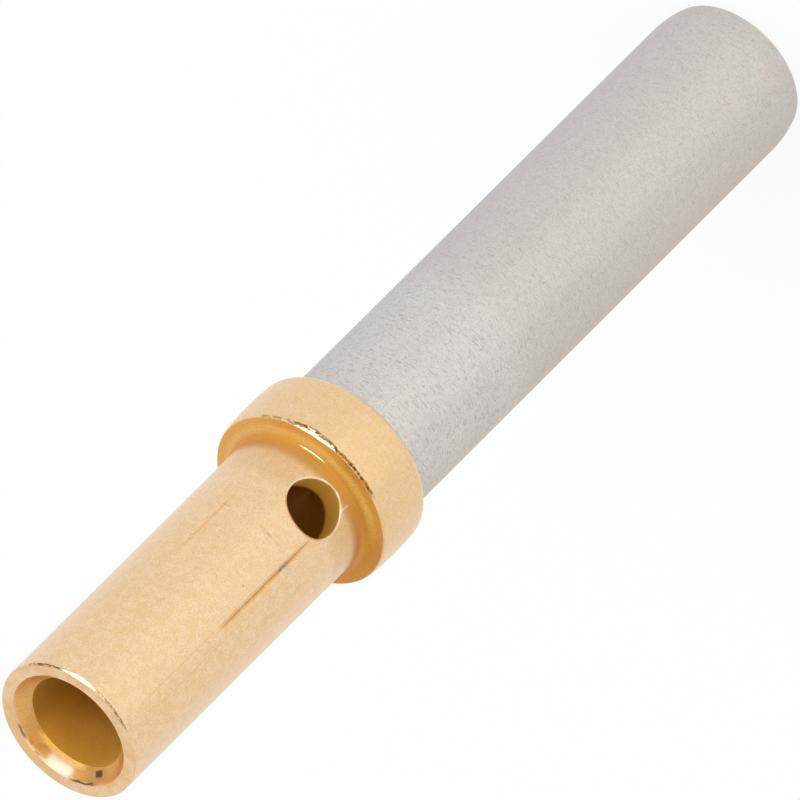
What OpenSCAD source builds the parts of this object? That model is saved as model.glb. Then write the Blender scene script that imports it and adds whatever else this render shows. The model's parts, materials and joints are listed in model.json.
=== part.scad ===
// Crimp socket contact, size 16: a turned contact body, with a wire barrel at one end and slotted
// spring tines at the other, and a hood pressed over the tines. It stands on the hood's end with
// the mouth of the wire barrel up, and the inspection hole faces -Y. Millimetres.

/* [Wire barrel] */
// Length of the wire barrel, from its mouth to the flange
barrel_length = 6.47; // [5:0.01:9]
// Diameter of the wire bore
wire_bore = 1.75; // [1.4:0.01:2]
// Wall of the wire barrel
barrel_wall = 0.435; // [0.3:0.005:0.5]
// Depth of the countersink at the mouth
countersink_depth = 0.24; // [0.1:0.01:0.4]
// Widening of the countersink on each side of the wire bore
countersink_step = 0.21; // [0.05:0.01:0.3]
// Round on the outer edge of the mouth
mouth_round = 0.04; // [0.02:0.01:0.07]

/* [Inspection hole] */
// Diameter of the inspection hole
hole_d = 1; // [0.6:0.05:1.3]
// Wall left between the inspection hole and the flange
hole_gap = 0.31; // [0.2:0.01:1]
// Depth of the wire bore past the inspection hole
bore_past_hole = 0.12; // [0.02:0.01:0.2]

/* [Flange] */
// Thickness of the flange along the contact
flange_thickness = 1.22; // [1:0.01:2]
// Height of the flange above the hood
flange_step = 0.3; // [0.24:0.005:0.5]
// Radius of the flange's crowned outside, seen in section
crown_radius = 6; // [2:0.1:10]
// Round on the flange's edge towards the wire barrel
rear_round = 0.03; // [0.02:0.01:0.1]
// Round on the flange's edge towards the hood
front_round = 0.18; // [0.05:0.01:0.2]
// Fillet between the wire barrel and the flange
root_fillet = 0.22; // [0.05:0.01:0.3]

/* [Hood] */
// Length of the hood, from its end to the flange
hood_length = 11.14; // [9.5:0.01:14]
// Wall of the hood
hood_wall = 0.205; // [0.15:0.005:0.3]
// Length of the hood's drawn-in nose
nose_length = 0.65; // [0.5:0.01:0.8]
// Radius of the nose where it leaves the straight wall, seen in section
nose_radius = 2; // [1.5:0.05:4]
// Round where the nose meets the flat end
nose_round = 0.12; // [0.05:0.01:0.2]
// Thickness of the turned-in lip at the hood's end
lip_thickness = 0.34; // [0.25:0.01:0.5]
// Round inside the hood, between the wall and the lip
lip_fillet = 0.12; // [0.05:0.01:0.2]
// Round on the edge of the pin entry
entry_round = 0.08; // [0.03:0.01:0.12]

/* [Socket] */
// Diameter of the bore that grips the mating pin
pin_bore = 1.6; // [1.5:0.01:1.7]
// Wall of the tines
tine_wall = 0.275; // [0.2:0.005:0.4]
// Room for the tines to open inside the hood
tine_clearance = 0.1; // [0.05:0.01:0.2]
// Room between the pin entry and the mating pin, on each side
entry_clearance = 0.1; // [0.02:0.01:0.2]
// Distance from the hood's lip to the tips of the tines
tip_gap = 0.45; // [0.1:0.05:1]
// Chamfer on the tips of the tines, inside and out
tip_chamfer = 0.08; // [0.02:0.01:0.09]
// Width of the slots between the tines
slot_width = 0.3; // [0.2:0.05:0.5]
// Length of the tube behind the slots, up to the press land
tine_root = 1.75; // [1:0.05:3]
// Depth of the pin bore past the slots
bore_past_slots = 1.6; // [0.5:0.05:2]

/* [Press land] */
// Length of the land that holds the hood
land_length = 2; // [1:0.05:3]
// Chamfer that leads the hood onto the land
land_chamfer = 0.08; // [0.02:0.01:0.09]
// Gap drawn between the land and the hood, which the press fit closes
press_clearance = 0.005; // [0.002:0.001:0.02]

/* [Hidden] */
$fn = 96;

// Full angle of a drill's point, and how far a cut runs past the face it opens
drill_angle = 118;
overcut = 0.5;
// Steps in each drawn arc
arc_steps = 8;

// Heights above the hood's end
tip_z = lip_thickness + tip_gap;
land_z = hood_length - land_length;
slot_z = land_z - tine_root;
pin_bottom_z = slot_z + bore_past_slots;
flange_z = hood_length;
shoulder_z = flange_z + flange_thickness;
hole_z = shoulder_z + hole_gap + hole_d / 2;
wire_bottom_z = hole_z - hole_d / 2 - bore_past_hole;
mouth_z = shoulder_z + barrel_length;

// Radii, from the pin outwards and from the wire outwards
pin_r = pin_bore / 2;
tine_r = pin_r + tine_wall;
hood_bore_r = tine_r + tine_clearance;
land_r = hood_bore_r - press_clearance;
hood_r = hood_bore_r + hood_wall;
entry_r = pin_r + entry_clearance;
flange_r = hood_r + flange_step;
wire_r = wire_bore / 2;
barrel_r = wire_r + barrel_wall;

// Room for the fillet on the flange's shoulder
shoulder_fillet = min(root_fillet, flange_r - barrel_r - 2 * rear_round);

// Points along an arc, from just after one angle up to another
function arc(centre, radius, from, to) =
    [for (i = [1 : arc_steps])
        let (a = from + (to - from) * i / arc_steps)
        centre + radius * [cos(a), sin(a)]];

// Outline of a turned end: it follows an arc about [arc_x, 0] up from y = 0, and a rounded edge
// then takes it smoothly onto the end plane at y = rise
function turned_end(arc_x, arc_r, rise, edge) =
    let (
        edge_x = arc_x + sqrt(pow(arc_r - edge, 2) - pow(rise - edge, 2)),
        lean = asin((rise - edge) / (arc_r - edge))
    )
    concat(arc([arc_x, 0], arc_r, 0, lean), arc([edge_x, rise - edge], edge, lean, 90));

// The same outline for an end that faces down, from its end plane up to y = 0
function face_down(points) = [for (i = [len(points) - 1 : -1 : 0]) [points[i].x, -points[i].y]];

// Material that fills an inside corner at the origin, between the +X and +Y sides
module corner_fillet(radius) {
    difference() {
        square(radius);
        translate([radius, radius]) circle(radius);
    }
}

// Half-section of a blind drilled hole that is open downwards, with its drill point above
module drilled(radius, from_y, to_y) {
    point = radius / tan(drill_angle / 2);
    polygon([[0, from_y], [radius, from_y], [radius, to_y], [0, to_y + point]]);
}

// Half-section of the wire barrel, without its bore, from inside the flange up
module barrel_section() {
    difference() {
        translate([0, flange_z]) square([barrel_r, mouth_z - flange_z]);
        translate([barrel_r, mouth_z]) rotate(180) corner_fillet(mouth_round);
    }
    translate([barrel_r, shoulder_z]) corner_fillet(shoulder_fillet);
}

// Half-section of the flange: a crowned ring with both edges rounded
module flange_section() {
    half = flange_thickness / 2;
    crown_x = flange_r - crown_radius;
    translate([0, flange_z + half]) polygon(concat(
        [[0, -half]],
        face_down(turned_end(crown_x, crown_radius, half, front_round)),
        [[flange_r, 0]],
        turned_end(crown_x, crown_radius, half, rear_round),
        [[0, half]]
    ));
}

// Half-section of a turned step from bottom_z up into the flange, with a chamfered lower edge
module step_section(radius, bottom_z, chamfer) {
    polygon([
        [0, bottom_z],
        [radius - chamfer, bottom_z],
        [radius, bottom_z + chamfer],
        [radius, shoulder_z],
        [0, shoulder_z],
    ]);
}

// Half-section of the wire bore, with the countersink at its mouth
module wire_bore_section() {
    mirror([0, 1]) drilled(wire_r, -mouth_z - overcut, -wire_bottom_z);
    translate([0, mouth_z - countersink_depth]) polygon([
        [0, 0],
        [wire_r, 0],
        [wire_r + countersink_step, countersink_depth],
        [0, countersink_depth],
    ]);
}

// Half-section of the pin bore, with the chamfer at the tips of the tines
module pin_bore_section() {
    drilled(pin_r, tip_z - overcut, pin_bottom_z);
    translate([0, tip_z]) polygon([
        [0, 0],
        [pin_r + tip_chamfer, 0],
        [pin_r, tip_chamfer],
        [0, tip_chamfer],
    ]);
}

// The gold-plated contact body: wire barrel, flange, press land and tines in one turned piece
module contact_body() {
    color("goldenrod") difference() {
        rotate_extrude() difference() {
            union() {
                barrel_section();
                flange_section();
                step_section(land_r, land_z, land_chamfer);
                step_section(tine_r, tip_z, tip_chamfer);
            }
            wire_bore_section();
            pin_bore_section();
        }
        translate([0, 0, hole_z]) rotate([90, 0, 0]) cylinder(h = barrel_r + overcut, d = hole_d);
        translate([0, 0, (slot_z + tip_z - overcut) / 2])
            cube([2 * (tine_r + overcut), slot_width, slot_z - tip_z + overcut], center = true);
    }
}

// Half-section of the hood's outside, with its drawn-in nose at the bottom
module hood_section() {
    straight = hood_length - nose_length;
    translate([0, nose_length]) polygon(concat(
        [[0, -nose_length]],
        face_down(turned_end(hood_r - nose_radius, nose_radius, nose_length, nose_round)),
        [[hood_r, 0], [hood_r, straight], [0, straight]]
    ));
}

// Half-section of the hood's inside: the chamber around the tines and the pin entry below it
module chamber_section() {
    difference() {
        translate([0, lip_thickness]) square([hood_bore_r, hood_length]);
        translate([hood_bore_r, lip_thickness]) rotate(90) corner_fillet(lip_fillet);
    }
    translate([0, -overcut]) square([entry_r, lip_thickness + 2 * overcut]);
    translate([entry_r, 0]) corner_fillet(entry_round);
}

// The stainless hood: a thin sleeve whose end is drawn in around the pin entry
module hood() {
    color("silver") rotate_extrude() difference() {
        hood_section();
        chamber_section();
    }
}

contact_body();
hood();
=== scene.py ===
"""The looks of the crimp socket contact: a gold-plated contact body and a steel hood, on a white floor.

The modelling functions work in millimetres, and a piece is scaled to metres when its mesh is made. The axis
of the contact is Z, the mouth of the wire barrel is up and the inspection hole faces -Y. Angles round the
axis are azimuths in degrees: 0 is -Y and 90 is +X.
"""

import json
import math
from collections import namedtuple

import bmesh
import bpy
import numpy as np
from mathutils import Matrix, Vector


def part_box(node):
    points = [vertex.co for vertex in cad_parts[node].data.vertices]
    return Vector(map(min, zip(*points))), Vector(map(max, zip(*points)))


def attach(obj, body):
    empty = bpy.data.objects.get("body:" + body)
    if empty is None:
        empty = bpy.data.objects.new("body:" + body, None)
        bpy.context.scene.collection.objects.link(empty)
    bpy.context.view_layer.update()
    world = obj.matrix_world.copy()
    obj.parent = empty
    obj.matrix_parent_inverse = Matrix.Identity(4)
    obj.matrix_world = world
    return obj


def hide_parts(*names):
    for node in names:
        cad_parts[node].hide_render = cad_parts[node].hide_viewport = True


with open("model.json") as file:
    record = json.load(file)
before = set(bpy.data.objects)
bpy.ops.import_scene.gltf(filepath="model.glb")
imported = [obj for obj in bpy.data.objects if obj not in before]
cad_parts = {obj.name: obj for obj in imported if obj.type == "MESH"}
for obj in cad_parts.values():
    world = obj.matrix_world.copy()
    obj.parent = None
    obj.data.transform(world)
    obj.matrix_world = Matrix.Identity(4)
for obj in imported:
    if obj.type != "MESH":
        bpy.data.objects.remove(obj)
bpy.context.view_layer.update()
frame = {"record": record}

MM = 0.001

# Sizes that the frame gives, in millimetres
mounts = {mount["name"]: mount for mount in frame["record"]["mounts"]}
body_low, body_high = (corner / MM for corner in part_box("contact_body"))
hood_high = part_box("hood")[1] / MM
wire_r = mounts["wire_barrel"]["dims"]["r_mm"]
wire_length = mounts["wire_barrel"]["dims"]["length_mm"]
pin_r = mounts["pin_socket"]["dims"]["r_mm"]
pin_length = mounts["pin_socket"]["dims"]["length_mm"]
hood_straight = mounts["hood_outside"]["dims"]["length_mm"]
shoulder_z = mounts["flange_rear"]["pos_m"][2] / MM
wire_middle_z = mounts["wire_barrel"]["pos_m"][2] / MM
pin_middle_z = mounts["pin_socket"]["pos_m"][2] / MM
mouth_z = body_high.z
tip_z = body_low.z
flange_r = body_high.x
hood_r = hood_high.x
flange_z = hood_high.z

# Sizes of the contact body that its box and mounts don't give, in millimetres
barrel_r = 1.31
countersink_step = 0.21
root_fillet = 0.22
front_round = 0.18
crown_radius = 6
hole_r = 0.5
hole_gap = 0.31
hole_rim = 0.035
land_r = 1.17
land_length = 2
land_chamfer = 0.08
tine_r = 1.075
tine_root = 1.75
tip_chamfer = 0.08
slot_half = 0.15
drill_half_angle = math.radians(59)

# Sizes of the hood that its box doesn't give, in millimetres
hood_wall = 0.205
nose_radius = 2
nose_round = 0.12
lip_thickness = 0.34
lip_fillet = 0.12
entry_r = 0.9
entry_round = 0.08

# Heights and a radius worked out from those
wire_bottom_z = wire_middle_z - wire_length / 2
countersink_z = wire_middle_z + wire_length / 2
pin_bottom_z = pin_middle_z + pin_length / 2
hole_z = shoulder_z + hole_gap + hole_r
land_z = flange_z - land_length
slot_z = land_z - tine_root
nose_length = flange_z - hood_straight
cone_r = wire_r + countersink_step

# Slopes of the countersink in degrees, at the wire bore and at the rim
COUNTERSINK_SLOPES = (34, 56)

# Bevels on two outer edges: height as made, and the four azimuths and the height of the wear on it
FLANGE_BEVEL = 0.026
FLANGE_WORN = ((14, 29, 32, 54), 0.05)
MOUTH_BEVEL = 0.015
MOUTH_WORN = ((15, 29, 35, 48), 0.034)

# A bevel's reach inwards as a share of its height, its bulge, and where across it its points lie
BEVEL_REACH = 0.7
BEVEL_BULGE = 0.004
BEVEL_SHARES = (0.08, 0.3, 0.5, 0.7, 0.92, 1)

# How ragged a bevel is as made and as worn, and the inspection hole's rim, as shares of their widths
MADE_RAGGED = 0.1
WORN_RAGGED = 0.18
RIM_RAGGED = 0.25

# Wear with painted highlights, and burrs with painted dark reflection, along the edges and in the
# countersink: four azimuths and a strength
FLANGE_WEAR_HIGHLIGHT = (((13, 17, 45, 49), 1.0),)
MOUTH_WEAR_HIGHLIGHT = (((17, 20, 39, 41), 1.0), ((42, 43, 46, 47.5), 0.9))
CONE_HIGHLIGHT = (((192, 198, 217, 226), 1.0),)
FLANGE_DARK_LINES = (((-22, -12, 47, 55), 1.0), ((54, 56, 68, 72), 0.6))
MOUTH_DARK_LINES = (((46, 50, 72, 82), 1.0), ((-24, -12, 14, 19), 0.8))

# Heights above the wire bore's edge at which the countersink's painted highlight starts and is full
SHINE_START = 0.02
SHINE_FULL = 0.11

# Width over which the countersink's painted reflection and shade sets in from its rim
CONE_BLEND = 0.035

# Reach of the mouth's dark line of burrs and painted dark reflection below it, and of the belt in which a
# height counts from the mouth's edge
DARK_LINE_REACH = 0.1
MOUTH_BELT = 0.3

# Scales of the distance below the dark lines: the larger the scale, the narrower the lines
FLANGE_DARK_LINE_SCALE = 0.8
MOUTH_DARK_LINE_SCALE = 1.5

# Tolerances that tell on which surface a point lies, and the room for the bevel on the mouth's end face
SLACK = 0.001
NEAR = 0.002
OFF_FACE = 0.0005
ON_SHOULDER = 0.0001
BEVEL_ROOM = 0.05

# Columns of faces round the axis, and how many of them lie on each side of a slot's middle
COLUMNS = 384
HALF_TURN = COLUMNS // 2
QUARTER = COLUMNS // 4
SLOT_COLUMNS = 9

# Windows round the inspection hole, outside and in the wire bore: columns on each side, rows and reach
OUTER_COLUMNS = 40
OUTER_ROWS = 44
OUTER_REACH = 0.72
INNER_COLUMNS = 44
INNER_ROWS = 36
INNER_REACH = 0.62
INNER_START = 0.01

# Steps of the surface between those windows: to the rim, over it, down the wall and out to the bore
RING_STEPS = 8
RIM_STEPS = 6
WALL_STEPS = 8
INNER_STEPS = 3

# Margin round the hole's rim, and the power that crowds the rows of points towards it
RIM_MARGIN = 0.012
CROWDING = 0.8

# Distance of the points that hug an edge, so that smooth shading stays even beside it
HUG = 0.008

# Depths of two rows of points on the barrel: below the mouth's bevel, and below the mouth
BELOW_BEVEL = 0.01
BELOW_MOUTH = 0.2

# Where the rows between the flange's bevel and its widest ring lie
CROWN_SHARES = (0.03, 0.12, 0.3, 0.6)

# The photograph's view: angles in degrees, lengths in millimetres
VIEW_AZIMUTH = 11.2
VIEW_ELEVATION = 36.2
VIEW_ROLL = 134.83
VIEW_WIDTH = 12.94
VIEW_AIM_Z = 9.526
VIEW_ASIDE = 0.0146
LENS = 1650
SENSOR = 36


# Outlines

def arc(centre, radius, start, end, steps=10):
    """Points along an arc, angles in degrees, without the first one."""
    angles = np.radians(np.linspace(start, end, steps + 1)[1:])
    return [(centre[0] + radius * math.cos(a), centre[1] + radius * math.sin(a)) for a in angles]


def straight(start, end, steps=1):
    """Points along a line, without the first one. Two of them hug its ends."""
    start = np.array(start, float)
    end = np.array(end, float)
    hug = HUG / np.linalg.norm(end - start)
    along = np.concatenate(([hug], np.linspace(0, 1, steps + 1)[1:-1], [1 - hug, 1]))
    return [tuple(start + (end - start) * share) for share in np.sort(along)]


def turned_end(arc_x, arc_r, rise, edge):
    """A turned end: an arc about (arc_x, 0) up from y = 0, then a rounded edge onto the plane y = rise."""
    edge_x = arc_x + math.sqrt((arc_r - edge) ** 2 - (rise - edge) ** 2)
    lean = math.degrees(math.asin((rise - edge) / (arc_r - edge)))
    return arc((arc_x, 0), arc_r, 0, lean) + arc((edge_x, rise - edge), edge, lean, 90)


def lowered(points, z):
    """The outline of an end for one that faces down, from its end plane up."""
    return [(x, z - y) for x, y in reversed(points)]


def bevel(start, end):
    """Points across a bevel whose ends may differ from column to column, without the first one."""
    across_r, across_z = end[0] - start[0], end[1] - start[1]
    points = []
    for share in BEVEL_SHARES:
        rise = BEVEL_BULGE * 4 * share * (1 - share)
        r = start[0] + share * across_r - rise * across_z
        z = start[1] + share * across_z + rise * across_r
        points.append((r, z))
    return points


def countersink(start, end, steps=10):
    """Points along a countersink that grows steeper towards its rim, without the first one."""
    slopes = np.radians(np.linspace(*COUNTERSINK_SLOPES, steps))
    run = np.cumsum(np.cos(slopes))
    rise = np.cumsum(np.sin(slopes))
    across = start[0] + (end[0] - start[0]) * run / run[-1]
    up = start[1] + (end[1] - start[1]) * rise / rise[-1]
    return list(zip(across, up))


# Wear

def smooth(value, start, end):
    """0 before start, 1 after end, with a soft change between."""
    share = np.clip((value - start) / (end - start), 0, 1)
    return share * share * (3 - 2 * share)


def stretch(azimuth, limits):
    """1 between the middle two of four azimuths, fading to 0 at the outer two."""
    return smooth(azimuth, limits[0], limits[1]) * smooth(azimuth, limits[3], limits[2])


def strength(azimuth, stretches):
    """How strong the given stretches are at each azimuth."""
    return sum(most * stretch(azimuth, limits) for limits, most in stretches)


def uneven(azimuth, seed):
    """A ragged line round the axis, between about -1 and 1."""
    turns = np.radians(azimuth)
    waves = ((23, 0.35), (57, 0.3), (101, 0.25), (163, 0.2))
    return sum(size * np.sin(count * turns + seed * count) for count, size in waves)


def bevel_height(azimuth, made, worn_away, seed):
    """Height of an edge's bevel at each azimuth."""
    limits, most = worn_away
    wear = stretch(azimuth, limits) * most * (1 + WORN_RAGGED * uneven(azimuth, seed))
    return made * (1 + MADE_RAGGED * uneven(azimuth, seed + 1)) + wear


def flange_bevel(azimuth):
    return bevel_height(azimuth, FLANGE_BEVEL, FLANGE_WORN, seed=3)


def mouth_bevel(azimuth):
    return bevel_height(azimuth, MOUTH_BEVEL, MOUTH_WORN, seed=8)


# Meshes

def column_angles(radius):
    """Azimuths of the columns in radians. The columns beside each slot follow its flat sides."""
    reach = np.maximum(radius, pin_r)
    column = np.arange(COLUMNS)
    offset = column % HALF_TURN - QUARTER
    middle = math.pi / 2 + math.pi * (column // HALF_TURN)
    in_slot = np.arcsin(slot_half / reach * np.clip(offset / SLOT_COLUMNS, -1, 1))
    edge = np.arcsin(slot_half / reach)
    beyond = np.clip((np.abs(offset) - SLOT_COLUMNS) / (QUARTER - SLOT_COLUMNS), 0, 1)
    return middle + in_slot + np.sign(offset) * (math.pi / 2 - edge) * beyond


def column_azimuths(radius):
    """Azimuths of the columns in degrees, from -180 to 180."""
    return (np.degrees(column_angles(radius)) + 180) % 360 - 180


def ring(radius, z):
    """One vertex per column, at a radius and height that may differ from column to column."""
    angles = column_angles(radius)
    heights = np.broadcast_to(z, COLUMNS)
    return np.stack([radius * np.sin(angles), -radius * np.cos(angles), heights], axis=1)


def columns_between(first, last):
    return {column % COLUMNS for column in range(first, last)}


class Surface:
    """Collects grids of points and makes them one mesh object, with its seams welded."""

    def __init__(self):
        self.mesh = bmesh.new()

    def grid(self, rows, closed=True, gaps=()):
        """Faces between rows of points. Columns in gaps are left open."""
        verts = [[self.mesh.verts.new(Vector(p) * MM) for p in row] for row in rows]
        count = len(rows[0])
        for upper, lower in zip(verts, verts[1:]):
            for i in range(count if closed else count - 1):
                if i not in gaps:
                    j = (i + 1) % count
                    self.mesh.faces.new((upper[i], upper[j], lower[j], lower[i]))

    def lathe(self, profile, gaps=()):
        """Faces round the axis along a profile of radii and heights."""
        self.grid([ring(r, z) for r, z in profile], gaps=gaps)

    def finish(self, name, material, weld=1e-8, sharp=math.radians(32)):
        bmesh.ops.remove_doubles(self.mesh, verts=self.mesh.verts, dist=weld)
        bmesh.ops.dissolve_degenerate(self.mesh, edges=self.mesh.edges, dist=weld)
        loose = [v for v in self.mesh.verts if not v.link_faces]
        bmesh.ops.delete(self.mesh, geom=loose, context="VERTS")
        bmesh.ops.recalc_face_normals(self.mesh, faces=self.mesh.faces)
        data = bpy.data.meshes.new(name)
        self.mesh.to_mesh(data)
        self.mesh.free()
        data.shade_smooth()
        data.set_sharp_from_angle(angle=sharp)
        data.materials.append(material)
        obj = bpy.data.objects.new(name, data)
        bpy.context.scene.collection.objects.link(obj)
        return obj


# Contact body

def window_edge(radius, columns, heights):
    """The loop of grid points round a window that is centred on the inspection hole."""
    rings = {z: ring(radius, z) for z in heights}
    low, high = heights[0], heights[-1]
    loop = [rings[low][k] for k in range(-columns, columns)]
    loop += [rings[z][columns] for z in heights[:-1]]
    loop += [rings[high][k] for k in range(columns, -columns, -1)]
    loop += [rings[z][-columns] for z in heights[:0:-1]]
    return np.array(loop)


def on_cylinder(radius, distance, angle, drop=0.0):
    """Points on the -Y side of a cylinder, at a distance and angle from the inspection hole's axis."""
    x = distance * np.cos(angle)
    y = drop - np.sqrt(radius ** 2 - x ** 2)
    return np.stack([x, y, hole_z + distance * np.sin(angle)], axis=1)


def round_hole(loop):
    """Distances and angles of a loop's points from the inspection hole's axis."""
    rise = loop[:, 2] - hole_z
    return np.hypot(loop[:, 0], rise), np.arctan2(rise, loop[:, 0])


def hole_rows(outer_edge, inner_edge):
    """Rows of points from the barrel's outside over the hole's rim and down its wall to the wire bore."""
    outer_distance, outer_angle = round_hole(outer_edge)
    inner_distance, inner_angle = round_hole(inner_edge)
    turn = (inner_angle - outer_angle + math.pi) % (2 * math.pi) - math.pi
    ragged_rim = hole_rim * (1 + RIM_RAGGED * uneven(np.degrees(outer_angle), seed=5))
    rim = hole_r + ragged_rim + RIM_MARGIN
    rows = [outer_edge]
    for share in np.linspace(0, 1, RING_STEPS + 1)[1:]:
        distance = outer_distance + (rim - outer_distance) * share ** CROWDING
        rows.append(on_cylinder(barrel_r, distance, outer_angle))
    for lean in np.radians(np.linspace(0, 90, RIM_STEPS + 1)):
        distance = hole_r + ragged_rim * (1 - math.sin(lean))
        drop = hole_rim * (1 - math.cos(lean))
        rows.append(on_cylinder(barrel_r, distance, outer_angle, drop))
    for share in np.linspace(0, 1, WALL_STEPS + 1)[1:]:
        angle = outer_angle + turn * share
        distance = np.full(len(angle), hole_r)
        at_rim = on_cylinder(barrel_r, distance, angle, hole_rim)
        at_bore = on_cylinder(wire_r, distance, angle)
        rows.append(at_rim + (at_bore - at_rim) * share)
    for share in np.linspace(0, 1, INNER_STEPS + 1)[1:-1]:
        distance = hole_r + (inner_distance - hole_r) * share
        rows.append(on_cylinder(wire_r, distance, inner_angle))
    return rows + [inner_edge]


def add_wire_bore(surface, heights):
    """The wire bore from its drill point up to the top of the window round the inspection hole."""
    drill_tip = (0.0, wire_bottom_z - wire_r / math.tan(drill_half_angle))
    bottom = [drill_tip] + straight(drill_tip, (wire_r, wire_bottom_z), 6)
    surface.lathe(bottom + [(wire_r, heights[0])])
    surface.lathe([(wire_r, z) for z in heights], columns_between(-INNER_COLUMNS, INNER_COLUMNS))


def add_mouth(surface, bore_z, outside_z):
    """The rest of the wire bore, the countersink, the mouth with its bevel, and the barrel down from it."""
    height = mouth_bevel(column_azimuths(barrel_r))
    bevel_r = barrel_r - BEVEL_REACH * height
    bevel_z = mouth_z - height
    profile = [(wire_r, bore_z)]
    profile += straight(profile[0], (wire_r, countersink_z), 8)
    profile += countersink(profile[-1], (cone_r, mouth_z))
    profile += [(cone_r + HUG, mouth_z), (bevel_r - HUG, mouth_z), (bevel_r, mouth_z)]
    profile += bevel(profile[-1], (barrel_r, bevel_z))
    profile += [(barrel_r, bevel_z - BELOW_BEVEL)]
    profile += straight((barrel_r, mouth_z - BELOW_MOUTH), (barrel_r, outside_z), 10)
    surface.lathe(profile)


def add_inspection_hole(surface, outer_heights, inner_heights):
    """The barrel's outside beside the inspection hole, and the hole."""
    window = columns_between(-OUTER_COLUMNS, OUTER_COLUMNS)
    surface.lathe([(barrel_r, z) for z in outer_heights[::-1]], window)
    outer_edge = window_edge(barrel_r, OUTER_COLUMNS, list(outer_heights))
    inner_edge = window_edge(wire_r, INNER_COLUMNS, list(inner_heights))
    surface.grid(hole_rows(outer_edge, inner_edge))


def add_flange(surface):
    """The flange from its root fillet to its front face, the press land and the tube up to the slots."""
    half = (shoulder_z - flange_z) / 2
    middle_z = flange_z + half
    crown_x = flange_r - crown_radius
    height = flange_bevel(column_azimuths(flange_r))
    crown_r = crown_x + np.sqrt(crown_radius ** 2 - (half - height) ** 2)
    bevel_r = crown_r - BEVEL_REACH * height
    fillet_centre = (barrel_r + root_fillet, shoulder_z + root_fillet)
    profile = [(barrel_r, shoulder_z + root_fillet)] + arc(fillet_centre, root_fillet, 180, 270, 18)
    profile += [(bevel_r - HUG, shoulder_z), (bevel_r, shoulder_z)]
    profile += bevel(profile[-1], (crown_r, shoulder_z - height))
    for share in CROWN_SHARES:
        rise = (half - height) * (1 - share)
        profile.append((crown_x + np.sqrt(crown_radius ** 2 - rise ** 2), middle_z + rise))
    front = lowered(turned_end(crown_x, crown_radius, half, front_round), middle_z)
    profile += [(flange_r, middle_z)] + front[::-1]
    profile += straight(profile[-1], (land_r, flange_z), 2)
    profile += straight(profile[-1], (land_r, land_z + land_chamfer), 4)
    profile += straight(profile[-1], (land_r - land_chamfer, land_z))
    profile += [(tine_r, land_z)]
    profile += straight(profile[-1], (tine_r, slot_z), 4)
    surface.lathe(profile)


def add_tines(surface):
    """The tines, with the saw cut between them."""
    heights = np.linspace(tip_z + tip_chamfer, slot_z, 10)
    tip_outer, tip_inner = tine_r - tip_chamfer, pin_r + tip_chamfer
    slots = columns_between(QUARTER - SLOT_COLUMNS, QUARTER + SLOT_COLUMNS)
    slots |= columns_between(HALF_TURN + QUARTER - SLOT_COLUMNS, HALF_TURN + QUARTER + SLOT_COLUMNS)
    profile = [(tine_r, z) for z in heights[::-1]]
    profile += [(tip_outer, tip_z), (tip_inner, tip_z)]
    profile += [(pin_r, z) for z in heights]
    surface.lathe(profile, slots)
    sections = [(tip_outer, tip_inner, tip_z)] + [(tine_r, pin_r, z) for z in heights]
    for middle in (QUARTER, QUARTER + HALF_TURN):
        for side in (middle - SLOT_COLUMNS, middle + SLOT_COLUMNS):
            rows = [(ring(outer, z)[side], ring(inner, z)[side]) for outer, inner, z in sections]
            surface.grid(rows, closed=False)
        across = slice(middle - SLOT_COLUMNS, middle + SLOT_COLUMNS + 1)
        surface.grid([ring(tine_r, slot_z)[across], ring(pin_r, slot_z)[across]], closed=False)


def add_pin_bore(surface):
    """The pin bore behind the slots, with its drill point."""
    point_z = pin_bottom_z + pin_r / math.tan(drill_half_angle)
    profile = [(pin_r, slot_z)] + straight((pin_r, slot_z), (pin_r, pin_bottom_z), 3)
    profile += straight(profile[-1], (0, point_z), 5)
    surface.lathe(profile)


def contact_body(material):
    """Wire barrel, flange, press land and slotted tines in one turned piece."""
    surface = Surface()
    outer_heights = np.linspace(shoulder_z + root_fillet, hole_z + OUTER_REACH, OUTER_ROWS + 1)
    inner_heights = np.linspace(wire_bottom_z + INNER_START, hole_z + INNER_REACH, INNER_ROWS + 1)
    add_wire_bore(surface, inner_heights)
    add_mouth(surface, inner_heights[-1], outer_heights[-1])
    add_inspection_hole(surface, outer_heights, inner_heights)
    add_flange(surface)
    add_tines(surface)
    add_pin_bore(surface)
    return surface.finish("plated_body", material)


# Hood

def hood(material):
    """A thin sleeve whose end is drawn in round the pin entry."""
    surface = Surface()
    bore_r = hood_r - hood_wall
    nose = lowered(turned_end(hood_r - nose_radius, nose_radius, nose_length, nose_round), nose_length)
    profile = [(entry_r + entry_round, 0.0)]
    profile += straight(profile[-1], nose[0], 3) + nose[1:] + [(hood_r, nose_length)]
    profile += straight(profile[-1], (hood_r, flange_z), 12)
    profile += straight(profile[-1], (bore_r, flange_z))
    profile += straight(profile[-1], (bore_r, lip_thickness + lip_fillet), 6)
    profile += arc((bore_r - lip_fillet, lip_thickness + lip_fillet), lip_fillet, 0, -90)
    profile += straight(profile[-1], (entry_r, lip_thickness), 2)
    profile += straight(profile[-1], (entry_r, entry_round), 3)
    profile += arc((entry_r + entry_round, entry_round), entry_round, 180, 270, 8)
    surface.lathe(profile)
    return surface.finish("steel_hood", material)


# Fields on the contact body's vertices, which its material reads

def paint(obj, **fields):
    """Gives each vertex the values of the named fields, which are functions of azimuth, radius and height."""
    places = np.empty(len(obj.data.vertices) * 3)
    obj.data.vertices.foreach_get("co", places)
    x, y, z = places.reshape(-1, 3).T / MM
    azimuth = np.degrees(np.arctan2(x, -y))
    for name, field in fields.items():
        layer = obj.data.attributes.new(name, "FLOAT", "POINT")
        layer.data.foreach_set("value", field(azimuth, np.hypot(x, y), z).astype(np.float32))


def from_hole(azimuth, radius, z):
    """Distance from the inspection hole's axis."""
    return np.hypot(radius * np.sin(np.radians(azimuth)), z - hole_z)


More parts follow.
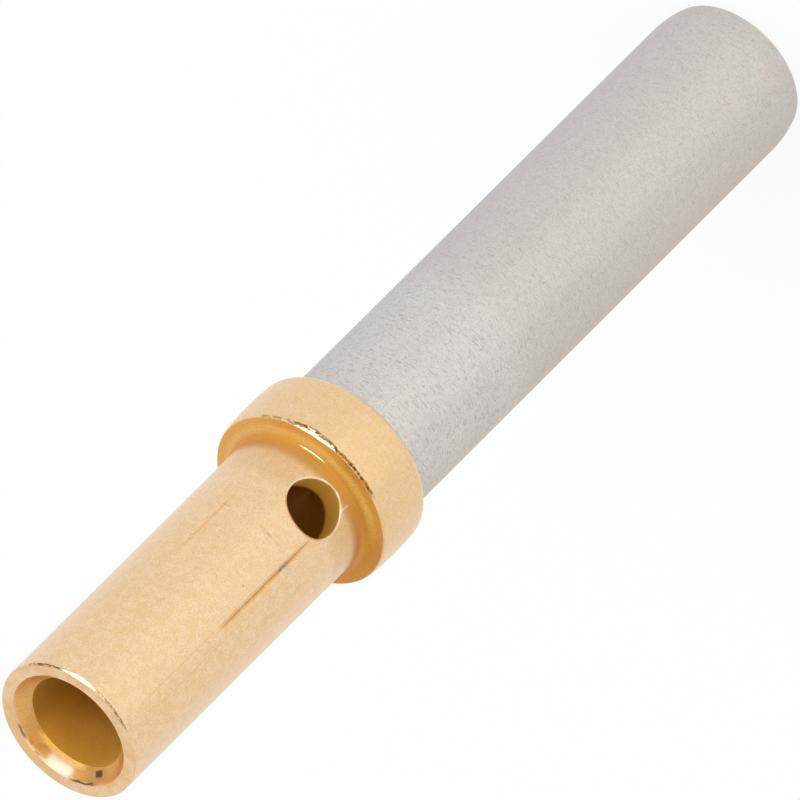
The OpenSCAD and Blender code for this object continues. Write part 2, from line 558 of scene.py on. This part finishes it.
def on_hole_rim(azimuth, radius, z):
    """1 on the rounded rim of the inspection hole."""
    distance = from_hole(azimuth, radius, z)
    near = (distance > hole_r - SLACK) * (distance < hole_r + 1.2 * hole_rim)
    return near * (np.abs(azimuth) < 90) * (radius > barrel_r - 1.5 * hole_rim)


def on_bevel(z, edge_z, height):
    """1 at the heights of a bevel below an edge."""
    return (z > edge_z - height - NEAR) * (z < edge_z - OFF_FACE)


def deep(azimuth, radius, z):
    """Where colour is painted for reflection and shade: the shoulder and its fillet, the countersink, and the
    upper side of the inspection hole's rim.
    """
    fillet = smooth(z, shoulder_z + root_fillet, shoulder_z + 0.7 * root_fillet) * (radius > barrel_r)
    shoulder = fillet * (z > shoulder_z - SLACK)
    cone = (z > countersink_z - SLACK) * smooth(radius, cone_r + SLACK, cone_r - CONE_BLEND)
    upper_side = smooth(z, hole_z + 0.3 * hole_r, hole_z + 0.7 * hole_r)
    upper_rim = 0.7 * on_hole_rim(azimuth, radius, z) * upper_side
    return np.max([shoulder, cone, upper_rim], axis=0)


def worn(azimuth, radius, z):
    """Where the plating is painted light: wear on parts of the edges, and a painted highlight there and in
    the countersink where the key lamp's reflection falls.
    """
    flange_edge = on_bevel(z, shoulder_z, flange_bevel(azimuth)) * (radius > barrel_r + root_fillet)
    mouth_edge = on_bevel(z, mouth_z, mouth_bevel(azimuth)) * (radius > cone_r + SLACK)
    cone = smooth(z, countersink_z + SHINE_START, countersink_z + SHINE_FULL) * (radius < cone_r + SLACK)
    flange_part = flange_edge * strength(azimuth, FLANGE_WEAR_HIGHLIGHT)
    mouth_part = mouth_edge * strength(azimuth, MOUTH_WEAR_HIGHLIGHT)
    cone_part = cone * strength((azimuth + 360) % 360, CONE_HIGHLIGHT)
    return np.max([flange_part, mouth_part, cone_part], axis=0)


def pale(azimuth, radius, z):
    """Where a lighter colour is painted as a highlight: the side of the hole's rim towards the flange."""
    across = radius * np.sin(np.radians(azimuth))
    reach = np.sqrt(np.maximum(barrel_r ** 2 - across ** 2, 0))
    drop = reach - radius * np.cos(np.radians(azimuth))
    side = smooth(z, hole_z + 0.5 * hole_r, hole_z - 0.1 * hole_r)
    return on_hole_rim(azimuth, radius, z) * side * smooth(drop, 0.8 * hole_rim, 0.2 * hole_rim)


def inside(azimuth, radius, z):
    """Where the plating lies inside the bores and the inspection hole."""
    bores = (radius < wire_r + SLACK) * (z < countersink_z - SLACK)
    hole_wall = (from_hole(azimuth, radius, z) < hole_r + SLACK) * (np.abs(azimuth) < 90)
    return np.maximum(bores, hole_wall * (radius < barrel_r - 0.5 * hole_rim))


def below_edge(azimuth, radius, z):
    """How far a point lies below the dark line on the flange's edge or, near the mouth, on the mouth's.

    The distance is scaled to make the flange's dark lines wider than the mouth's. Points on the flange's
    shoulder and inside the mouth are set far from the line.
    """
    flange_line = shoulder_z - flange_bevel(azimuth) + 0.4 * FLANGE_BEVEL
    mouth_line = mouth_z - 0.5 * mouth_bevel(azimuth)
    flange_part = FLANGE_DARK_LINE_SCALE * (flange_line - z) - (z > shoulder_z - ON_SHOULDER)
    mouth_part = MOUTH_DARK_LINE_SCALE * (mouth_line - z) + (radius < barrel_r - BEVEL_ROOM)
    return np.where(z > mouth_z - MOUTH_BELT, mouth_part, flange_part)


def burr(azimuth, radius, z):
    """How dark the lines of burrs and painted dark reflection are, round the contact."""
    mouth_part = strength(azimuth, MOUTH_DARK_LINES) * (z > mouth_z - DARK_LINE_REACH)
    flange_part = strength(azimuth, FLANGE_DARK_LINES) * (z < shoulder_z + SLACK)
    return mouth_part + flange_part


# Materials

Spot = namedtuple("Spot", "place azimuth height")


class Nodes:
    """Short names for the shader nodes that the materials use."""

    def __init__(self, tree):
        self.tree = tree
        tree.nodes.clear()

    def add(self, kind, inputs=None, **settings):
        node = self.tree.nodes.new(kind)
        for name, value in settings.items():
            setattr(node, name, value)
        for name, value in (inputs or {}).items():
            self.set(node.inputs[name], value)
        return node

    def set(self, socket, value):
        if isinstance(value, bpy.types.NodeSocket):
            self.tree.links.new(value, socket)
        else:
            socket.default_value = value

    def math(self, operation, *values):
        node = self.add("ShaderNodeMath", operation=operation)
        for socket, value in zip(node.inputs, values):
            self.set(socket, value)
        return node.outputs[0]

    def vector(self, operation, first, second):
        node = self.add("ShaderNodeVectorMath", {0: first, 1: second}, operation=operation)
        return node.outputs["Value" if operation == "DOT_PRODUCT" else "Vector"]

    def parts(self, vector):
        node = self.add("ShaderNodeSeparateXYZ", {"Vector": vector})
        return [node.outputs[name] for name in "XYZ"]

    def mix(self, share, first, second):
        """Colours in the given shares."""
        node = self.add("ShaderNodeMix", data_type="RGBA")
        for name, value in (("Factor_Float", share), ("A_Color", first), ("B_Color", second)):
            socket = next(socket for socket in node.inputs if socket.identifier == name)
            self.set(socket, value)
        return next(socket for socket in node.outputs if socket.identifier == "Result_Color")

    def blend(self, share, first, second):
        """Numbers in the given shares."""
        return self.add("ShaderNodeMix", {"Factor": share, "A": first, "B": second}).outputs["Result"]

    def ramp(self, value, start, end, low=0.0, high=1.0):
        """low before start, high after end, with a soft change between."""
        inputs = {"Value": value, "From Min": start, "From Max": end, "To Min": low, "To Max": high}
        node = self.add("ShaderNodeMapRange", inputs, interpolation_type="SMOOTHSTEP")
        return node.outputs["Result"]

    def band(self, value, middle, half, soft):
        """1 within half of the middle, fading to 0 over the soft width beyond."""
        away = self.math("ABSOLUTE", self.math("SUBTRACT", value, middle))
        return self.ramp(away, half + soft, half)

    def noise(self, place, scale, detail=2.0):
        node = self.add("ShaderNodeTexNoise", {"Vector": place, "Scale": scale, "Detail": detail})
        return node.outputs["Fac"]

    def wander(self, place, scale, size, detail=2.0):
        """Noise about 0, of the given size."""
        return self.math("MULTIPLY", self.math("SUBTRACT", self.noise(place, scale, detail), 0.5), size)

    def field(self, name):
        return self.add("ShaderNodeAttribute", attribute_name=name).outputs["Fac"]

    def spot(self):
        """The place on the contact in millimetres, with its azimuth in degrees and its height."""
        coordinate = self.add("ShaderNodeTexCoord").outputs["Object"]
        place = self.vector("MULTIPLY", coordinate, (1 / MM, 1 / MM, 1 / MM))
        x, y, height = self.parts(place)
        turn = self.math("ARCTAN2", x, self.math("MULTIPLY", y, -1.0))
        return Spot(place, self.math("MULTIPLY", turn, 180 / math.pi), height)

    def radius(self, spot):
        """Distance from the contact's axis, in millimetres."""
        squares = [self.math("MULTIPLY", part, part) for part in self.parts(spot.place)[:2]]
        return self.math("SQRT", self.math("ADD", *squares))

    def mark(self, azimuth, height, row):
        """1 on a mark, fading to 0 round it. row is azimuth, half width, height and half height."""
        middle, half_turn, level, half_height = row
        across = self.band(azimuth, middle, 0.5 * half_turn, 0.7 * half_turn)
        return self.math("MULTIPLY", across, self.band(height, level, 0.6 * half_height, 0.5 * half_height))

    def grained(self, grain, share, colour, tint):
        """A colour with up to the given share of a tint where the fine grain is strong."""
        return self.mix(self.ramp(grain, 0.35, 0.7, 0.0, share), colour, tint)

    def metal(self, colour, roughness, relief, plain=0.0):
        """Turned metal with a fine relief. Off its plain parts, reflections spread along the round sides."""
        inputs = {"Base Color": colour, "Metallic": 1.0, "Roughness": roughness}
        shader = self.add("ShaderNodeBsdfPrincipled", inputs)
        normal = self.add("ShaderNodeNewGeometry").outputs["Normal"]
        upright = self.math("ABSOLUTE", self.parts(normal)[2])
        round_side = self.ramp(upright, 0.3, 0.7, 0.85, 0.0)
        tangent = self.add("ShaderNodeTangent", direction_type="RADIAL", axis="Z")
        self.set(shader.inputs["Tangent"], tangent.outputs["Tangent"])
        self.set(shader.inputs["Anisotropic"], self.blend(plain, round_side, 0.0))
        self.set(shader.inputs["Anisotropic Rotation"], 0.25)
        bump = self.add("ShaderNodeBump", {"Strength": 0.3, "Distance": 0.004 * MM, "Height": relief})
        self.set(shader.inputs["Normal"], bump.outputs["Normal"])
        self.add("ShaderNodeOutputMaterial", {"Surface": shader.outputs[0]})
        return shader


def rgb(red, green, blue):
    return (red, green, blue, 1.0)


def new_material(name):
    material = bpy.data.materials.new(name)
    material.use_nodes = True
    return material, Nodes(material.node_tree)


# Sectors of the contact, most of them for painted light and shade: azimuth of the middle, half width and soft
# edge, in degrees
PLUS_SIDE = (95, 35, 45)
SHADED_SIDE = (-95, 30, 40)
STAINED_SIDE = (160, 8, 15)
CONE_NEAR = (-8, 42, 28)
CONE_LIT = (-80, 9, 15)
CONE_FAR = (203, 22, 16)
BORE_LIT = (-115, 30, 45)
BORE_DIM = (120, 25, 35)

# Noise cells in a millimetre: the plating's clouds, specks, stains and grain, and the steel's
CLOUDS = 7.0
SPECKS = 13.0
STAINS = 3.0
GRAIN = 42.0
STEEL_CLOUDS = 1.5
STEEL_BLOTCHES = 8.0
STEEL_GRAIN = 38.0
STEEL_DASHES = (9.0, 9.0, 28.0)

# Heights above the shoulder at which the painted reflection of the shoulder on the barrel starts, faintly and
# then fully
FAINT_FOOT = (1.05, 0.8)
FULL_FOOT = (0.54, 0.24)

# Depths below the mouth over which the wire bore's painted light and shade change, first in its upper part
# and then lower down
FAR_DOWN = (0.23, 1.43)
DEEP_DOWN = (1.63, 4.33)

# Middle, half width and soft edge of the dark line of burrs and painted dark reflection, in the units of
# below_edge
DARK_LINE_BAND = (0.012, 0.013, 0.017)

# A painted highlight in the root fillet where the key lamp's reflection falls: azimuth, half width in
# degrees, height and half height
FILLET_HIGHLIGHT = (28.5, 11.0, shoulder_z + 0.43 * root_fillet, 0.009)

# A dark speck and a warm stain on the hood, in the same form
HOOD_SPECK = (-0.6, 0.9, 6.82, 0.025)
HOOD_STAIN = (-10, 7.0, 0.53, 0.2)

# Heights over which the hood turns lighter with a painted reflection, its grain fainter and its dashes
# stronger towards the flange
HOOD_REFLECTION_HEIGHTS = (7.3, 8.4)
FAINTER_GRAIN = (5.0, 9.0)
STRONGER_DASHES = (4.0, 10.5)

# Colours of marks on the plating
ORANGE = rgb(0.78, 0.42, 0.13)
RED_LINE = rgb(0.84, 0.47, 0.21)
BROWN = rgb(0.45, 0.22, 0.055)
DARK = rgb(0.12, 0.055, 0.02)
GREY = rgb(0.5, 0.4, 0.24)
VIOLET = rgb(0.27, 0.2, 0.24)
PALE = rgb(0.94, 0.78, 0.53)

# Lines and spots on the outside: azimuth, half width in degrees, height, half height, strength and colour
MARKS = (
    (-14.1, 2.6, 14.93, 1.3, 0.75, ORANGE),
    (-14.1, 0.8, 14.93, 1.3, 0.65, BROWN),
    (-14.2, 0.7, 15.47, 0.22, 0.5, BROWN),
    (-14.1, 0.7, 13.78, 0.15, 0.5, BROWN),
    (-14.1, 1.3, 14.4, 0.17, 0.9, VIOLET),
    (49.8, 1.4, 14.7, 0.9, 0.75, RED_LINE),
    (49.8, 1.2, 14.2, 0.03, 0.7, GREY),
    (47.0, 2.5, 14.22, 0.018, 0.4, GREY),
    (-12.3, 0.6, 16.8, 1.7, 0.35, ORANGE),
    (-22.7, 0.6, 16.9, 1.5, 0.3, ORANGE),
    (-37.8, 2.5, 14.68, 0.65, 0.15, GREY),
    (9.0, 13.0, 14.22, 0.03, 0.22, GREY),
    (9.4, 2.2, 14.23, 0.03, 0.5, GREY),
    (-3.3, 1.2, 15.27, 0.03, 0.9, ORANGE),
    (-15.6, 0.9, 12.72, 0.14, 0.6, PALE),
)

# Chips and stains in the countersink, in the same form
CHIPS = (
    (162, 8.0, 18.81, 0.02, 0.7, DARK),
    (174, 3.0, 18.79, 0.026, 0.75, BROWN),
    (-178, 6.0, 18.72, 0.05, 0.45, BROWN),
    (-174, 3.0, 18.815, 0.018, 0.75, BROWN),
    (-124, 15.0, 18.812, 0.022, 0.85, DARK),
    (-108, 5.0, 18.665, 0.05, 0.95, DARK),
)


def outside_gold(nodes, spot, grain):
    """Satin plating, cloudy and finely specked, with a painted reflection of the shoulder on the barrel next
    to it, and stained on its end face.
    """
    cloud = nodes.ramp(nodes.noise(spot.place, CLOUDS, 3.0), 0.35, 0.65)
    colour = nodes.mix(cloud, rgb(0.89, 0.615, 0.326), rgb(0.915, 0.685, 0.422))
    on_flange = nodes.ramp(spot.height, shoulder_z + NEAR, shoulder_z, 0.0, 0.4)
    colour = nodes.mix(on_flange, colour, rgb(0.86, 0.57, 0.25))
    speck = nodes.ramp(nodes.noise(spot.place, SPECKS, 1.0), 0.64, 0.71, 0.0, 0.4)
    colour = nodes.mix(speck, colour, rgb(0.74, 0.44, 0.18))
    colour = nodes.grained(grain, 0.65, colour, rgb(0.79, 0.5, 0.245))

    # Painted reflection of the shoulder's orange in the barrel next to it, lighter on the plus side
    faint = nodes.ramp(spot.height, shoulder_z + FAINT_FOOT[0], shoulder_z + FAINT_FOOT[1], 0.0, 0.3)
    full = nodes.ramp(spot.height, shoulder_z + FULL_FOOT[0], shoulder_z + FULL_FOOT[1])
    above_flange = nodes.ramp(spot.height, shoulder_z - NEAR, shoulder_z)
    reflected_shoulder = nodes.math("MULTIPLY", nodes.math("MAXIMUM", faint, full), above_flange)
    plus_side = nodes.band(spot.azimuth, *PLUS_SIDE)
    reflected_shoulder_colour = nodes.mix(plus_side, rgb(0.62, 0.32, 0.06), rgb(0.7, 0.375, 0.1))
    colour = nodes.mix(reflected_shoulder, colour, reflected_shoulder_colour)

    stained = nodes.ramp(nodes.noise(spot.place, STAINS, 3.0), 0.38, 0.62)
    stained = nodes.math("MAXIMUM", stained, nodes.band(spot.azimuth, *STAINED_SIDE))
    end_colour = nodes.mix(stained, rgb(1.0, 0.72, 0.4), rgb(0.91, 0.565, 0.24))
    end_colour = nodes.grained(grain, 0.35, end_colour, rgb(0.75, 0.42, 0.15))
    end_face = nodes.ramp(spot.height, mouth_z - 3 * SLACK, mouth_z - SLACK)
    return nodes.mix(end_face, colour, end_colour)


def shoulder_reflection_and_shade(nodes, spot):
    """Painted reflection and shade on the flange's shoulder: orange for gold reflected in gold, darker in the
    fillet, and changed on the two sides for how the light falls.
    """
    # Painted shade: darker in the fillet by the barrel
    fillet = nodes.ramp(spot.height, shoulder_z + NEAR, shoulder_z + 0.4 * root_fillet)
    colour = nodes.mix(fillet, rgb(1.0, 0.63, 0.14), rgb(0.59, 0.26, 0.01))
    # Painted light and shade: another colour on the plus side, and a darker one on the shaded side
    plus_side = nodes.math("MULTIPLY", nodes.band(spot.azimuth, *PLUS_SIDE), 0.6)
    colour = nodes.mix(plus_side, colour, rgb(0.85, 0.41, 0.042))
    shaded_side = nodes.band(spot.azimuth, *SHADED_SIDE)
    return nodes.mix(shaded_side, colour, rgb(0.77, 0.345, 0.014))


def countersink_reflection_and_shade(nodes, spot, radius):
    """Painted reflection and shade in the countersink, in place of dark surroundings reflected there,
    changing round the axis and towards the wire bore.
    """
    cloud = nodes.ramp(nodes.noise(spot.place, CLOUDS, 3.0), 0.3, 0.7)
    colour = nodes.mix(cloud, rgb(0.61, 0.285, 0.047), rgb(0.675, 0.32, 0.06))
    colour = nodes.mix(nodes.band(spot.azimuth, *PLUS_SIDE), colour, rgb(0.96, 0.565, 0.175))
    colour = nodes.mix(nodes.band(spot.azimuth, *CONE_NEAR), colour, rgb(0.76, 0.46, 0.063))
    colour = nodes.mix(nodes.band(spot.azimuth, *CONE_LIT), colour, rgb(0.87, 0.42, 0.06))
    full_turn = nodes.math("WRAP", spot.azimuth, 360.0, 0.0)
    by_bore = nodes.ramp(radius, wire_r + 0.1, wire_r + 0.04)
    by_bore = nodes.math("MULTIPLY", by_bore, nodes.band(full_turn, *CONE_FAR))
    return nodes.mix(by_bore, colour, rgb(1.0, 0.54, 0.11))


def bore_light_and_shade(nodes, spot, radius, grain):
    """Painted light and shade in the bores and on the inspection hole's wall: lighter on the lit side, darker
    on the dim side and further down, lighter on the hole's wall.
    """
    far_colour = nodes.mix(nodes.band(spot.azimuth, *BORE_LIT), rgb(0.76, 0.49, 0.078), rgb(1.0, 0.72, 0.18))
    far_down = nodes.ramp(spot.height, mouth_z - FAR_DOWN[0], mouth_z - FAR_DOWN[1])
    colour = nodes.mix(far_down, rgb(0.94, 0.62, 0.115), far_colour)
    colour = nodes.mix(nodes.band(spot.azimuth, *BORE_DIM), colour, rgb(0.66, 0.41, 0.06))
    deep_down = nodes.ramp(spot.height, mouth_z - DEEP_DOWN[0], mouth_z - DEEP_DOWN[1])
    colour = nodes.mix(deep_down, colour, rgb(0.63, 0.335, 0.036))
    hole_wall = nodes.ramp(radius, wire_r + 0.01, wire_r + 0.08)
    colour = nodes.mix(hole_wall, colour, rgb(0.85, 0.56, 0.108))
    return nodes.grained(grain, 0.2, colour, rgb(0.68, 0.42, 0.06))


def scored_gold(nodes, spot, radius, countersunk, colour):
    """The plating's colour with its scored lines, spots and chips, and how strong those are."""
    wandering = nodes.math("ADD", spot.azimuth, nodes.wander(spot.place, 3.0, 0.9))
    jagged = nodes.wander(spot.place, 10.0, 0.05, 0.0)
    rough_turn = nodes.math("ADD", spot.azimuth, nodes.math("MULTIPLY", jagged, 90.0))
    rough_height = nodes.math("SUBTRACT", spot.height, jagged)
    outside = nodes.ramp(radius, barrel_r - 0.02, barrel_r - 0.01)
    broken = nodes.ramp(nodes.noise(spot.place, 6.0), 0.3, 0.5, 0.5, 1.0)
    lines = nodes.math("MULTIPLY", outside, broken)
    scored = 0.0
    groups = ((MARKS, lines, wandering, spot.height), (CHIPS, countersunk, rough_turn, rough_height))
    for rows, where, turn, level in groups:
        for *row, most, tint in rows:
            share = nodes.math("MULTIPLY", where, most)
            share = nodes.math("MULTIPLY", nodes.mark(turn, level, row), share)
            colour = nodes.mix(share, colour, tint)
            scored = nodes.math("MAXIMUM", scored, share)
    return colour, scored


def burr_and_dark_reflection_gold(nodes, spot):
    """Where the dark ragged lines along the bevels show, and their colour: burrs with painted shadow and
    painted dark reflection.
    """
    below = nodes.math("ADD", nodes.field("below_edge"), nodes.wander(spot.place, 12.0, 0.05))
    patches = nodes.ramp(nodes.noise(spot.place, 10.0, 1.0), 0.3, 0.48)
    patches = nodes.math("MULTIPLY", nodes.field("burr"), patches)
    shows = nodes.math("MULTIPLY", nodes.band(below, *DARK_LINE_BAND), patches)
    darker = nodes.ramp(nodes.noise(spot.place, 15.0, 1.0), 0.45, 0.6)
    return shows, nodes.mix(darker, rgb(0.36, 0.17, 0.045), rgb(0.1, 0.055, 0.02))


def gold():
    """Gold plating: satin outside, painted reflection and shade on the shoulder, in the countersink and
    bores, wear with painted highlights, scores, and burrs with painted dark reflection.
    """
    material, nodes = new_material("plating")
    spot = nodes.spot()
    radius = nodes.radius(spot)
    grain = nodes.noise(spot.place, GRAIN, 1.0)
    countersunk = nodes.ramp(radius, cone_r + 0.006, cone_r)
    # Painted reflection and shade: the shoulder's and countersink's colours stand in for gold reflected in
    # gold and for dark surroundings
    reflection_and_shade_share = nodes.field("deep")
    within = nodes.field("inside")

    # Colours of the painted reflection and shade on the shoulder and in the countersink
    reflection_and_shade_colour = nodes.mix(countersunk, shoulder_reflection_and_shade(nodes, spot), countersink_reflection_and_shade(nodes, spot, radius))
    reflection_and_shade_colour = nodes.grained(grain, 0.28, reflection_and_shade_colour, rgb(0.4, 0.18, 0.015))
    colour = nodes.mix(reflection_and_shade_share, outside_gold(nodes, spot, grain), reflection_and_shade_colour)
    # Painted light and shade in the bores and on the inspection hole's wall
    colour = nodes.mix(within, colour, bore_light_and_shade(nodes, spot, radius, grain))
    # Painted highlight: a lighter colour in patches on the side of the hole's rim towards the flange
    patches = nodes.ramp(nodes.noise(spot.place, CLOUDS), 0.35, 0.6, 0.25, 0.75)
    rim_highlight_share = nodes.math("MULTIPLY", nodes.field("pale"), patches)
    colour = nodes.mix(rim_highlight_share, colour, rgb(0.94, 0.74, 0.48))
    # Painted highlight: a light line in the root fillet where the key lamp's reflection falls
    fillet_highlight = nodes.math("MULTIPLY", nodes.mark(spot.azimuth, spot.height, FILLET_HIGHLIGHT), reflection_and_shade_share)
    # Painted highlight: a light colour on the edges' wear and in the countersink where the key lamp's
    # reflection falls, so that it shows white
    wear_and_highlight_share = nodes.math("MAXIMUM", nodes.field("worn"), fillet_highlight)
    colour = nodes.mix(wear_and_highlight_share, colour, nodes.mix(countersunk, rgb(0.94, 0.81, 0.58), rgb(0.77, 0.61, 0.42)))
    colour, scored = scored_gold(nodes, spot, radius, countersunk, colour)
    # Burrs with painted shadow and painted dark reflection: dark ragged lines along the bevels
    burr_and_dark_reflection_share, burr_and_dark_reflection_colour = burr_and_dark_reflection_gold(nodes, spot)
    colour = nodes.mix(burr_and_dark_reflection_share, colour, burr_and_dark_reflection_colour)

    roughness = nodes.ramp(grain, 0.2, 0.8, 0.33, 0.44)
    roughness = nodes.blend(reflection_and_shade_share, roughness, nodes.blend(countersunk, 0.6, 0.4))
    roughness = nodes.blend(within, roughness, 0.84)
    roughness = nodes.blend(wear_and_highlight_share, roughness, nodes.blend(countersunk, 0.25, 0.33))
    relief = nodes.math("SUBTRACT", grain, scored)
    relief = nodes.math("SUBTRACT", relief, nodes.math("MULTIPLY", burr_and_dark_reflection_share, 2.0))
    plain = nodes.math("MAXIMUM", nodes.math("MAXIMUM", reflection_and_shade_share, wear_and_highlight_share), within)
    shader = nodes.metal(colour, roughness, relief, plain)
    marked = nodes.math("MAXIMUM", burr_and_dark_reflection_share, scored)
    nodes.set(shader.inputs["Coat Weight"], nodes.blend(marked, 0.8, 0.1))
    nodes.set(shader.inputs["Coat Roughness"], 0.4)
    return material


def steel():
    """Satin steel with thin dark dashes that fade towards the hood's end, a speck, a warm stain, and a
    painted reflection that lightens it towards the flange.
    """
    material, nodes = new_material("hood_steel")
    spot = nodes.spot()
    grain = nodes.noise(spot.place, STEEL_GRAIN, 1.0)

    # Painted reflection: lighter towards the flange
    hood_reflection = nodes.ramp(spot.height, *HOOD_REFLECTION_HEIGHTS)
    colour = nodes.mix(hood_reflection, rgb(0.688, 0.64, 0.6), rgb(0.738, 0.703, 0.662))
    cloud = nodes.ramp(nodes.noise(spot.place, STEEL_CLOUDS, 3.0), 0.3, 0.7, 0.0, 0.25)
    colour = nodes.mix(cloud, colour, rgb(0.63, 0.6, 0.57))
    blotch = nodes.ramp(nodes.noise(spot.place, STEEL_BLOTCHES, 2.0), 0.35, 0.65, 0.0, 0.3)
    colour = nodes.mix(blotch, colour, rgb(0.605, 0.565, 0.53))
    fine = nodes.ramp(spot.height, *FAINTER_GRAIN, 0.5, 0.45)
    fine = nodes.math("MULTIPLY", nodes.ramp(grain, 0.38, 0.72), fine)
    colour = nodes.mix(fine, colour, rgb(0.5, 0.465, 0.44))
    squeezed = nodes.vector("MULTIPLY", spot.place, STEEL_DASHES)
    dash = nodes.ramp(nodes.noise(squeezed, 1.0, 1.0), 0.57, 0.7)
    dash = nodes.math("MULTIPLY", dash, nodes.ramp(spot.height, *STRONGER_DASHES, 0.25, 0.45))
    speck = nodes.math("MULTIPLY", nodes.mark(spot.azimuth, spot.height, HOOD_SPECK), 0.7)
    dash = nodes.math("MAXIMUM", dash, speck)
    colour = nodes.mix(dash, colour, rgb(0.4, 0.365, 0.35))
    patches = nodes.ramp(nodes.noise(spot.place, 5.0), 0.45, 0.65, 0.0, 0.3)
    stain = nodes.math("MULTIPLY", nodes.mark(spot.azimuth, spot.height, HOOD_STAIN), patches)
    colour = nodes.mix(stain, colour, rgb(0.6, 0.47, 0.33))

    roughness = nodes.ramp(grain, 0.2, 0.8, 0.33, 0.45)
    shader = nodes.metal(colour, roughness, nodes.math("SUBTRACT", grain, dash))
    nodes.set(shader.inputs["Specular Tint"], rgb(0.8, 0.78, 0.77))
    return material


# Stage

# Two corners of the room behind the contact: turn from the view in degrees, and colour
ROOM_CORNERS = ((-135, rgb(0.7, 0.65, 0.61)), (120, rgb(0.93, 1.0, 1.2)))
CORNER_ELEVATION = 45

# The floor's radius in metres, and the share of plain white in what the camera sees of it
FLOOR_RADIUS = 1.5
FLOOR_WHITE = 0.85

# Distance of the lamps from the flange's shoulder, in metres
LAMP_DISTANCE = 0.2


def direction(azimuth, elevation):
    """Unit vector from the contact towards an azimuth and elevation, in degrees."""
    a, e = math.radians(azimuth), math.radians(elevation)
    return Vector((math.sin(a) * math.cos(e), -math.cos(a) * math.cos(e), math.sin(e)))


def seen_directly(nodes):
    """1 for the rays that see the background: from the camera, and by way of metal or glass."""
    path = nodes.add("ShaderNodeLightPath")
    seen = nodes.math("MAXIMUM", path.outputs["Is Camera Ray"], path.outputs["Is Glossy Ray"])
    return nodes.math("MAXIMUM", seen, path.outputs["Is Transmission Ray"])


def studio_world():
    """A white room, dimmer and warmer towards one corner behind the contact and cooler towards the other."""
    world = bpy.data.worlds.new("studio")
    world.use_nodes = True
    bpy.context.scene.world = world
    nodes = Nodes(world.node_tree)
    seen = nodes.add("ShaderNodeTexCoord").outputs["Generated"]
    colour = rgb(1, 1, 1)
    for turn, tint in ROOM_CORNERS:
        corner = nodes.vector("DOT_PRODUCT", seen, direction(VIEW_AZIMUTH + turn, CORNER_ELEVATION))
        colour = nodes.mix(nodes.ramp(corner, 0.5, 0.9), colour, tint)
    room = nodes.add("ShaderNodeBackground", {"Color": colour, "Strength": 1.0})
    nodes.add("ShaderNodeOutputWorld", {"Surface": room.outputs[0]})


def floor():
    """White paper, which keeps some of the contact's shadow."""
    material, nodes = new_material("floor_white")
    paper = nodes.add("ShaderNodeBsdfDiffuse", {"Color": rgb(0.95, 0.95, 0.95)})
    glow = nodes.add("ShaderNodeEmission", {"Color": rgb(1, 1, 1), "Strength": 1.0})
    share = nodes.math("MULTIPLY", seen_directly(nodes), FLOOR_WHITE)
    both = nodes.add("ShaderNodeMixShader", {0: share, 1: paper.outputs[0], 2: glow.outputs[0]})
    nodes.add("ShaderNodeOutputMaterial", {"Surface": both.outputs[0]})
    bpy.ops.mesh.primitive_circle_add(vertices=96, radius=FLOOR_RADIUS, fill_type="NGON")
    obj = bpy.context.object
    obj.name = "floor"
    obj.data.materials.append(material)


def soft_lamp(name, azimuth, elevation, size, radiance):
    """A softbox that faces the contact. size is its width and height in metres."""
    data = bpy.data.lights.new(name, "AREA")
    data.shape = "RECTANGLE"
    data.size, data.size_y = size
    data.energy = radiance * 4 * size[0] * size[1]
    obj = bpy.data.objects.new(name, data)
    towards = direction(azimuth, elevation)
    obj.location = Vector((0, 0, shoulder_z * MM)) + towards * LAMP_DISTANCE
    obj.rotation_mode = "QUATERNION"
    obj.rotation_quaternion = towards.to_track_quat("Z", "Y")
    obj.visible_camera = False
    bpy.context.scene.collection.objects.link(obj)


def camera():
    """The photograph's camera, far off with a long lens and rolled to lay the contact along the diagonal."""
    a, roll = math.radians(VIEW_AZIMUTH), math.radians(VIEW_ROLL)
    back = direction(VIEW_AZIMUTH, VIEW_ELEVATION)
    level = Vector((math.cos(a), math.sin(a), 0))
    rise = back.cross(level)
    right = level * math.cos(roll) - rise * math.sin(roll)
    up = level * math.sin(roll) + rise * math.cos(roll)
    data = bpy.data.cameras.new("camera")
    data.lens = LENS
    data.sensor_width = SENSOR
    obj = bpy.data.objects.new("camera", data)
    bpy.context.scene.collection.objects.link(obj)
    distance = VIEW_WIDTH * MM * LENS / SENSOR
    place = Vector((0, 0, VIEW_AIM_Z * MM)) + level * VIEW_ASIDE * MM + back * distance
    obj.matrix_world = Matrix.Translation(place) @ Matrix((right, up, back)).transposed().to_4x4()
    bpy.context.scene.camera = obj


bpy.context.scene.view_settings.view_transform = "Standard"
studio_world()
floor()
camera()
soft_lamp("key", azimuth=VIEW_AZIMUTH + 40, elevation=35, size=(0.22, 0.026), radiance=2.15)
soft_lamp("fill", azimuth=VIEW_AZIMUTH - 13, elevation=9, size=(0.24, 0.06), radiance=1.05)

body_piece = contact_body(gold())
# The fields hold painted reflection and shade, painted highlights, and dark lines of burrs and painted dark
# reflection
paint(body_piece, deep=deep, worn=worn, pale=pale, inside=inside, below_edge=below_edge, burr=burr)
hood_piece = hood(steel())
for piece, node, slot in ((body_piece, "contact_body", "plating"), (hood_piece, "hood", "hood_steel")):
    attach(piece, "root")
    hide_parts(node)
